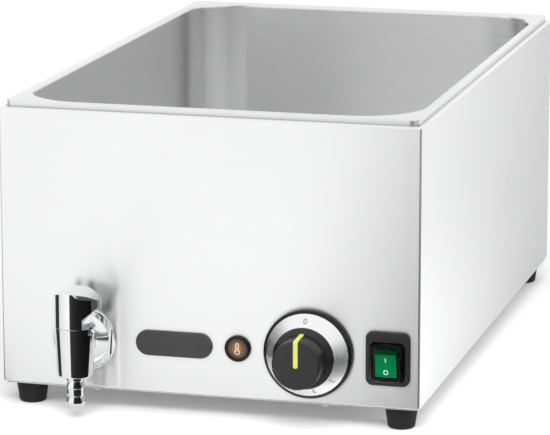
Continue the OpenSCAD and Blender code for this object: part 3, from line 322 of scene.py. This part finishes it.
WEARS = {
    casing_steel: ["casing", "rear_panel"],
    plain_steel: ["base_plate", "sensor_clip", "heater_clamp_front", "heater_clamp_rear"],
    tank_steel: ["tank"],
    chrome: ["tap_body", "tap_nozzle", "tap_rosette", "tap_handle"],
    zinc: ["foot_screws", "foot_nuts", "base_screws", "rear_screws", "tap_locknut", "drain_elbow",
           "thermostat_screws", "thermostat_shaft", "clamp_studs", "clamp_nuts", "cutout_nut",
           "terminal_screws", "earth_stud"],
    sheath: ["heating_element"],
    brass: ["tap_plug", "drain_coupling", "earth_nuts", "sensor_bulb", "sensor_capillary"],
    foot_rubber: ["foot_front_left", "foot_front_right", "foot_rear_left", "foot_rear_right"],
    seal_rubber: ["tap_seals", "gland_seal"],
    frame_black: ["switch_frame"],
    black_plastic: ["dial_bezel", "switch_body", "lamp_nut", "gland_body", "gland_cap",
                    "gland_locknut"],
    gloss_black: ["lamp_holder"],
    knob_plastic: ["knob"],
    pointer_yellow: ["knob_pointer"],
    dial_metal: ["dial_scale"],
    lens_amber: ["lamp_lens"],
    rocker_green: ["switch_rocker"],
    boot_clear: ["switch_boot"],
    plate_grey: ["name_plate"],
    white_insulator: ["thermostat_body", "safety_cutout", "terminal_block"],
}
for material, names in WEARS.items():
    for name in names:
        mesh = nodes[name].data
        mesh.materials.clear()
        mesh.materials.append(material)
# lets the light through to the rocker
nodes["switch_boot"].visible_shadow = False


# Pieces added on the CAD nodes

# print stands this far out of a surface and reaches this far in, in strips that can bend
PRINT_T = 0.06 * MM
PRINT_SINK = 0.04 * MM
STRIP = 0.5 * MM


def piece(name, build, material, body):
    """One finished piece from a bmesh already in place."""
    bmesh.ops.recalc_face_normals(build, faces=build.faces)
    mesh = bpy.data.meshes.new(name)
    build.to_mesh(mesh)
    build.free()
    mesh.materials.append(material)
    made = bpy.data.objects.new(name, mesh)
    scene.collection.objects.link(made)
    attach(made, body)
    return made


def mapped(build, target, lay):
    """Adds a flat bmesh to target, with lay giving the place of each (across, up, height)."""
    for vert in build.verts:
        vert.co = lay(*vert.co)
    flat = bpy.data.meshes.new("flat")
    build.to_mesh(flat)
    build.free()
    target.from_mesh(flat)
    bpy.data.meshes.remove(flat)


def strips(build, axis):
    """Cuts a flat bmesh across an axis into strips, so that it can bend."""
    low = min(v.co.dot(axis) for v in build.verts)
    high = max(v.co.dot(axis) for v in build.verts)
    for i in range(1, math.ceil((high - low) / STRIP)):
        bmesh.ops.bisect_plane(build, geom=build.verts[:] + build.edges[:] + build.faces[:],
                               plane_co=axis * (low + i * STRIP), plane_no=axis)
    return build


def baked(holder):
    """Mesh of an object with its modifiers, or of a text."""
    bpy.context.view_layer.update()
    graph = bpy.context.evaluated_depsgraph_get()
    return bpy.data.meshes.new_from_object(holder.evaluated_get(graph))


def glyph(text, height, squeeze):
    """Thin solid of one character round the origin."""
    curve = bpy.data.curves.new("glyph", "FONT")
    curve.body = text
    curve.extrude = 0.5
    curve.resolution_u = 4
    holder = bpy.data.objects.new("glyph", curve)
    scene.collection.objects.link(holder)
    mesh = baked(holder)
    bpy.data.objects.remove(holder)
    bpy.data.curves.remove(curve)
    build = bmesh.new()
    build.from_mesh(mesh)
    bpy.data.meshes.remove(mesh)
    bmesh.ops.remove_doubles(build, verts=build.verts, dist=1e-5)
    lows, highs = [[pick(v.co[i] for v in build.verts) for i in range(2)] for pick in (min, max)]
    size = height / (highs[1] - lows[1])
    for vert in build.verts:
        vert.co.x = (vert.co.x - (lows[0] + highs[0]) / 2) * size * squeeze
        vert.co.y = (vert.co.y - (lows[1] + highs[1]) / 2) * size
        vert.co.z = PRINT_T if vert.co.z > 0 else -PRINT_SINK
    return strips(build, Vector((1, 0, 0)))


def ribbon(outer, inner):
    """Thin solid between two closed loops of equally many points."""
    build = bmesh.new()
    rows = [[build.verts.new((x, y, height)) for x, y in loop]
            for loop, height in ((outer, PRINT_T), (inner, PRINT_T),
                                 (inner, -PRINT_SINK), (outer, -PRINT_SINK))]
    count = len(outer)
    for a, b in zip(rows, rows[1:] + rows[:1]):
        for i in range(count):
            j = (i + 1) % count
            build.faces.new((a[i], a[j], b[j], b[i]))
    return strips(build, Vector((0, 1, 0)))


def pill(width, height, steps=8):
    """Loop of an upright bar with round ends."""
    r, rise = width / 2, (height - width) / 2
    loop = []
    for turn, up in ((0.0, rise), (math.pi, -rise)):
        for i in range(steps + 1):
            a = turn + math.pi * i / steps
            loop.append((r * math.cos(a), up + r * math.sin(a)))
    return loop


def circle(radius, steps=40):
    return [(radius * math.cos(math.tau * i / steps), radius * math.sin(math.tau * i / steps))
            for i in range(steps)]


# numerals on the dial's cone: character and clockwise angle from the top
NUMERALS = [("0", 0), ("1", 90), ("2", 130), ("3", 165), ("4", 197), ("5", 268)]
NUMERAL_H = 5.4 * MM
NUMERAL_SQUEEZE = 0.85
# the cone's small end, and how far it stands out from the wide one, as in the CAD
CONE_TOP_R = 23.3 * MM
CONE_RISE = 10.0 * MM


def dial_numerals():
    low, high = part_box("dial_scale")
    axis = middle("dial_scale")
    foot_r = (high.x - low.x) / 2
    slope = Vector((foot_r - CONE_TOP_R, CONE_RISE)).normalized()
    mid_r = (foot_r + CONE_TOP_R) / 2
    build = bmesh.new()
    for text, angle in NUMERALS:
        def lay(across, up, height):
            r = mid_r + up * slope.x + height * slope.y
            depth = CONE_RISE / 2 + up * slope.y - height * slope.x
            a = math.radians(angle) + across / mid_r
            return axis.x + r * math.sin(a), low.y + depth, axis.z + r * math.cos(a)
        mapped(glyph(text, NUMERAL_H, NUMERAL_SQUEEZE), build, lay)
    piece("dial_numerals", build, print_dark, "housing")


# the rocker's pivot, its tilt at rest and the dip between its two slopes, as in the CAD
ROCKER_PIVOT = Vector((144.7, -261.125, 56.3)) * MM
ROCKER_TILT = math.radians(12)
ROCKER_DISH = 1.0 * MM
# outer loop, inner loop and height above the pivot of each mark
ROCKER_MARKS = [
    (pill(0.65 * MM, 3.6 * MM), pill(0.06 * MM, 3.01 * MM), 4.7 * MM),
    (circle(1.9 * MM), circle(1.4 * MM), -5.6 * MM),
]


def rocker_marks():
    """White bar over ring on the rocker's two slopes."""
    pivot = ROCKER_PIVOT
    cos, sin = math.cos(ROCKER_TILT), math.sin(ROCKER_TILT)
    rest = [(v.co.z - pivot.z, pivot.y - v.co.y) for v in nodes["switch_rocker"].data.vertices]
    face = max(out * cos - up * sin for up, out in rest)
    half = max(up * cos + out * sin for up, out in rest)
    build = bmesh.new()
    for outer, inner, where in ROCKER_MARKS:
        slope = Vector((half, math.copysign(ROCKER_DISH, where))).normalized()
        foot_out = face - ROCKER_DISH * (1 - abs(where) / half)

        def lay(across, up, height):
            y = where + up * slope.x - height * slope.y
            z = foot_out + up * slope.y + height * slope.x
            return pivot.x + across, pivot.y - (y * sin + z * cos), pivot.z + y * cos - z * sin
        mapped(ribbon(outer, inner), build, lay)
    piece("rocker_marks", build, print_white, "rocker")


# the lamp's sign: middle of the bulb and of the stem's round top, below and above the lens's middle
SIGN_DROP = 2.5 * MM
SIGN_RISE = 3.2 * MM


def thermometer(bulb_r, stem_r, steps=18):
    """Loop of a bulb with a round-topped stem."""
    meet = math.asin(stem_r / bulb_r)
    loop = []
    for i in range(2 * steps + 1):
        a = meet + (math.tau - 2 * meet) * i / (2 * steps)
        loop.append((bulb_r * math.sin(a), -SIGN_DROP + bulb_r * math.cos(a)))
    for i in range(steps + 1):
        a = -math.pi / 2 + math.pi * i / steps
        loop.append((stem_r * math.sin(a), SIGN_RISE + stem_r * math.cos(a)))
    return loop


SIGN_PARTS = [
    (thermometer(2.3 * MM, 1.55 * MM), thermometer(1.5 * MM, 0.75 * MM)),
    (pill(0.7 * MM, 4.6 * MM), pill(0.05 * MM, 3.95 * MM)),
]


def lamp_sign():
    """Pale thermometer sign on the lens's dome."""
    dome_r = lens_high.x - lens_low.x

    def lay(across, up, height):
        fall = dome_r - math.sqrt(dome_r ** 2 - across ** 2 - up ** 2)
        return lens_front.x + across, lens_front.y + fall - height, lens_front.z + up
    build = bmesh.new()
    for outer, inner in SIGN_PARTS:
        mapped(ribbon(outer, inner), build, lay)
    piece("lamp_sign", build, print_cream, "housing")


# pan-head screws, with the rounding of the head as a share of its height
HEAD_R = 3.5 * MM
HEAD_H = 2.2 * MM
HEAD_ROUND = 0.62
HEAD_STEPS = 8
SHANK_R = 1.9 * MM
SHANK_L = 7.6 * MM
# the cross recess: half width and half length at the top, shares of them at the bottom, depth,
# and how far the cutter stands above the head
WING, REACH = 0.55 * MM, 1.9 * MM
WING_FOOT, REACH_FOOT = 0.7, 0.45
RECESS_DEEP = 1.5 * MM
RECESS_OVER = 0.2 * MM
# turn from one screw to the next
SCREW_TURN = 0.7


def stacked(rings):
    """Closed bmesh through rings of equally many points."""
    build = bmesh.new()
    rows = [[build.verts.new(point) for point in ring] for ring in rings]
    count = len(rows[0])
    for a, b in zip(rows, rows[1:]):
        for i in range(count):
            j = (i + 1) % count
            build.faces.new((a[i], a[j], b[j], b[i]))
    build.faces.new(rows[0])
    build.faces.new(rows[-1])
    bmesh.ops.recalc_face_normals(build, faces=build.faces)
    return build


def tool(build):
    """Object for a Boolean, which is removed after it."""
    mesh = bpy.data.meshes.new("tool")
    build.to_mesh(mesh)
    build.free()
    made = bpy.data.objects.new("tool", mesh)
    scene.collection.objects.link(made)
    return made


def cross_head():
    """Pan-head screw along +Z, its seat at the origin, with a tapered cross recess."""
    edge = HEAD_H * HEAD_ROUND
    bends = [math.pi / 2 * (1 - i / HEAD_STEPS) for i in range(HEAD_STEPS + 1)]
    profile = [(SHANK_R, -SHANK_L), (SHANK_R, 0), (HEAD_R, 0)]
    profile += [(HEAD_R - edge * (1 - math.sin(a)), HEAD_H - edge * (1 - math.cos(a)))
                for a in bends]
    head = tool(stacked([[(x, y, z) for x, y in circle(r)] for r, z in profile]))
    square = ((-1, -1), (1, -1), (1, 1), (-1, 1))
    foot = [(x * REACH * REACH_FOOT, y * WING * WING_FOOT, HEAD_H - RECESS_DEEP)
            for x, y in square]
    top = [(x * REACH, y * WING, HEAD_H + RECESS_OVER) for x, y in square]
    cutters = []
    for turn in (0, math.pi / 2):
        cutter = tool(stacked([foot, top]))
        cutter.rotation_euler.z = turn
        cutters.append(cutter)
        cut = head.modifiers.new("recess", "BOOLEAN")
        cut.operation, cut.solver, cut.object = "DIFFERENCE", "EXACT", cutter
    mesh = baked(head)
    for used in [head, *cutters]:
        bpy.data.objects.remove(used)
    return mesh


def screws(node, head, seat_axis):
    """Cross-head screws in place of a node's plain ones, one for each cluster of its corners."""
    places = []
    for vert in nodes[node].data.vertices:
        for cluster in places:
            if (cluster[0] - vert.co).length < 4 * HEAD_R:
                cluster.append(vert.co)
                break
        else:
            places.append([vert.co])
    turn = seat_axis.to_track_quat("Z", "Y").to_matrix().to_4x4()
    build = bmesh.new()
    for i, cluster in enumerate(places):
        low = Vector([min(c[k] for c in cluster) for k in range(3)])
        high = Vector([max(c[k] for c in cluster) for k in range(3)])
        spot = (low + high) / 2
        far = max(c.dot(seat_axis) for c in cluster)
        spot += seat_axis * (far - HEAD_H - spot.dot(seat_axis))
        one = head.copy()
        one.transform(Matrix.Translation(spot) @ turn @ Matrix.Rotation(SCREW_TURN * i, 4, "Z"))
        build.from_mesh(one)
        bpy.data.meshes.remove(one)
    made = piece(node + "_cross", build, zinc, "housing")
    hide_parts(node)


dial_numerals()
rocker_marks()
lamp_sign()
screw_head = cross_head()
screws("rear_screws", screw_head, Vector((0, 1, 0)))
screws("base_screws", screw_head, Vector((0, 0, -1)))


# Floor, light and camera

# plain light on everything, and what metal and glass see: white windows in a dark room
STUDIO_FILL = 0.30
STUDIO_WHITE = 1.0
STUDIO_DARK = 0.22
# direction of a window, and the cosines where it starts and is full
STUDIO_WINDOWS = [
    ((0.0, 0.1, 1.0), 0.30, 0.62),
    ((-0.60, -0.77, 0.20), 0.743, 0.848),
    ((-0.10, 0.98, 0.20), 0.55, 0.85),
    ((0.70, -0.35, 0.75), 0.76, 0.90),
]
FLOOR_HALF = 9
FLOOR_Z = -0.0002
FLOOR_WHITE = 0.88
FLOOR_GLOW = 0.12
# distances from the object's middle where the floor starts and ends turning into a white backdrop
FLOOR_FADE = (0.36, 0.95)
# height of the lowest floor flag, and the step to the next layer
FLAG_Z = 0.0006
FLAG_STEP = 0.0004
FLAG_BLACK = (0.01, 0.01, 0.01, 1)
MATT = 0.9


def floor_look():
    """Pale floor that keeps the object's shadow and turns into a white backdrop further out."""
    look = Look("floor_white", Roughness=MATT, Emission_Color=(1, 1, 1, 1))
    near = look.span(look.length(look.place()), 1, 0, *FLOOR_FADE)
    look.to("Base Color", look.tones(near, [(0.0, (0, 0, 0)), (1.0, (FLOOR_WHITE,) * 3)]))
    path = look.add("ShaderNodeLightPath").outputs
    seen = look.maths("MAXIMUM", path["Is Camera Ray"], path["Is Glossy Ray"])
    seen = look.maths("MAXIMUM", seen, path["Is Transmission Ray"])
    glow = look.span(near, 1, FLOOR_GLOW, 0, 1)
    look.to("Emission Strength", look.maths("MULTIPLY", seen, glow))
    return look.mat


def make_floor():
    mesh = bpy.data.meshes.new("floor")
    build = bmesh.new()
    bmesh.ops.create_grid(build, x_segments=2, y_segments=2, size=FLOOR_HALF)
    build.to_mesh(mesh)
    build.free()
    mesh.materials.append(floor_look())
    floor = bpy.data.objects.new("floor", mesh)
    floor.location.z = FLOOR_Z
    scene.collection.objects.link(floor)


def make_world():
    """White to the camera, the windows to metal and glass, and plain light to the rest."""
    world = bpy.data.worlds.new("studio")
    scene.world = world
    world.use_nodes = True
    tree = world.node_tree
    tree.nodes.clear()

    def blend(share, low, high):
        rise = wire_maths(tree, "SUBTRACT", high, low)
        return wire_maths(tree, "ADD", wire_maths(tree, "MULTIPLY", share, rise), low)

    coords = tree.nodes.new("ShaderNodeTexCoord").outputs["Generated"]
    best = 0.0
    for direction, start, stop in STUDIO_WINDOWS:
        dot = tree.nodes.new("ShaderNodeVectorMath")
        dot.operation = "DOT_PRODUCT"
        dot.inputs[1].default_value = Vector(direction).normalized()
        tree.links.new(coords, dot.inputs[0])
        fade = tree.nodes.new("ShaderNodeMapRange")
        fade.interpolation_type = "SMOOTHSTEP"
        fade.inputs["From Min"].default_value = start
        fade.inputs["From Max"].default_value = stop
        tree.links.new(dot.outputs["Value"], fade.inputs["Value"])
        best = wire_maths(tree, "MAXIMUM", best, fade.outputs["Result"])
    path = tree.nodes.new("ShaderNodeLightPath").outputs
    shiny = wire_maths(tree, "ADD", path["Is Glossy Ray"], path["Is Transmission Ray"], clamp=True)
    level = blend(shiny, STUDIO_FILL, blend(best, STUDIO_DARK, STUDIO_WHITE))
    level = blend(path["Is Camera Ray"], level, 1.0)
    back = tree.nodes.new("ShaderNodeBackground")
    back.inputs["Color"].default_value = (1, 1, 1, 1)
    tree.links.new(level, back.inputs["Strength"])
    out = tree.nodes.new("ShaderNodeOutputWorld")
    tree.links.new(back.outputs[0], out.inputs["Surface"])


def flag_look(name, dense, edge):
    """Black cloth. An edge is a direction, and how far along it the cloth starts and is full."""
    look = Look(name, Base_Color=FLAG_BLACK, Roughness=MATT, Alpha=dense)
    if edge:
        direction, start, stop = edge
        along = look.along(look.place(), direction)
        look.to("Alpha", look.span(along, 0, dense, start, stop))
    return look.mat


def make_flag(name, corners, dense=1.0, edge=None):
    """Studio flag beside the object, which only shiny surfaces show."""
    mesh = bpy.data.meshes.new(name)
    mesh.from_pydata(corners, [], [tuple(range(len(corners)))])
    mesh.materials.append(flag_look(name, dense, edge))
    flag = bpy.data.objects.new(name, mesh)
    flag.visible_camera = flag.visible_diffuse = flag.visible_shadow = False
    scene.collection.objects.link(flag)


def floor_flag(name, layer, *corners, dense=1.0, edge=None):
    make_flag(name, [(x, y, FLAG_Z + layer * FLAG_STEP) for x, y in corners], dense, edge)


def standing_flag(name, start, end, height):
    make_flag(name, [(*start, FLAG_Z), (*end, FLAG_Z), (*end, height), (*start, height)])


def soft_light(name, place, target, size, power):
    data = bpy.data.lights.new(name, "AREA")
    data.shape = "RECTANGLE"
    data.size, data.size_y = size
    data.energy = power
    lamp = bpy.data.objects.new(name, data)
    lamp.location = place
    aim = Vector(target) - Vector(place)
    lamp.rotation_euler = aim.to_track_quat("-Z", "Y").to_euler()
    lamp.visible_glossy = False
    scene.collection.objects.link(lamp)


# the photo's camera: to the right of the front, above, and its focal length in the photo's pixels
CAMERA_YAW = math.radians(15.03)
CAMERA_PITCH = math.radians(12.42)
CAMERA_TARGET = Vector((-18.1, 11.375, 103.5)) * MM
CAMERA_AWAY = 2.855
CAMERA_REACH = 60
FOCAL_PX, PHOTO_PX = 3331.0, 550.0
SENSOR = 36.0


def make_camera():
    level = math.cos(CAMERA_PITCH)
    back = Vector((math.sin(CAMERA_YAW) * level, -math.cos(CAMERA_YAW) * level,
                   math.sin(CAMERA_PITCH)))
    data = bpy.data.cameras.new("camera")
    data.sensor_width = SENSOR
    data.lens = FOCAL_PX * SENSOR / PHOTO_PX
    data.clip_end = CAMERA_REACH
    camera = bpy.data.objects.new("camera", data)
    camera.location = CAMERA_TARGET + back * CAMERA_AWAY
    camera.rotation_euler = (-back).to_track_quat("-Z", "Y").to_euler()
    scene.collection.objects.link(camera)
    scene.camera = camera


scene.view_settings.view_transform = "Standard"
make_floor()
make_world()
make_camera()
standing_flag("flag_tap", (-0.083, -0.288), (-0.116, -0.388), height=0.098)
floor_flag("flag_right", 0, (0.05, -0.27), (0.18, -0.265), (1.2, 0.10), (1.2, -1.9),
           (-0.28, -1.9), dense=0.95, edge=((1, -0.17, 0), 0.10, 0.262))
floor_flag("flag_left", 0, (-0.178, -0.305), (-0.1755, -0.255), (-1.22, 0.146), (-1.26, -0.595))
floor_flag("flag_front", 1, (-0.7, -0.27), (0.3, -0.27), (0.3, -0.9), (-0.7, -0.9),
           dense=0.32, edge=((0, 1, 0), -0.80, -0.34))
floor_flag("flag_side", 2, (0.175, -0.26), (0.7, 0.2), (4.0, 6.0), (0.8, 8.0), (0.175, 0.3),
           dense=0.62, edge=((-0.981, 0.196, 0), -0.27, -0.07))
soft_light("top_softbox", (0.3, -0.4, 2.3), target=(0, -0.1, 0.1), size=(2.6, 2.2), power=28)
soft_light("front_softbox", (0.45, -2.3, 1.9), target=(0, -0.25, 0.05), size=(2.4, 1.0), power=74)
soft_light("side_softbox", (2.3, -0.5, 0.9), target=(0.2, -0.1, 0.0), size=(1.4, 0.8), power=26)
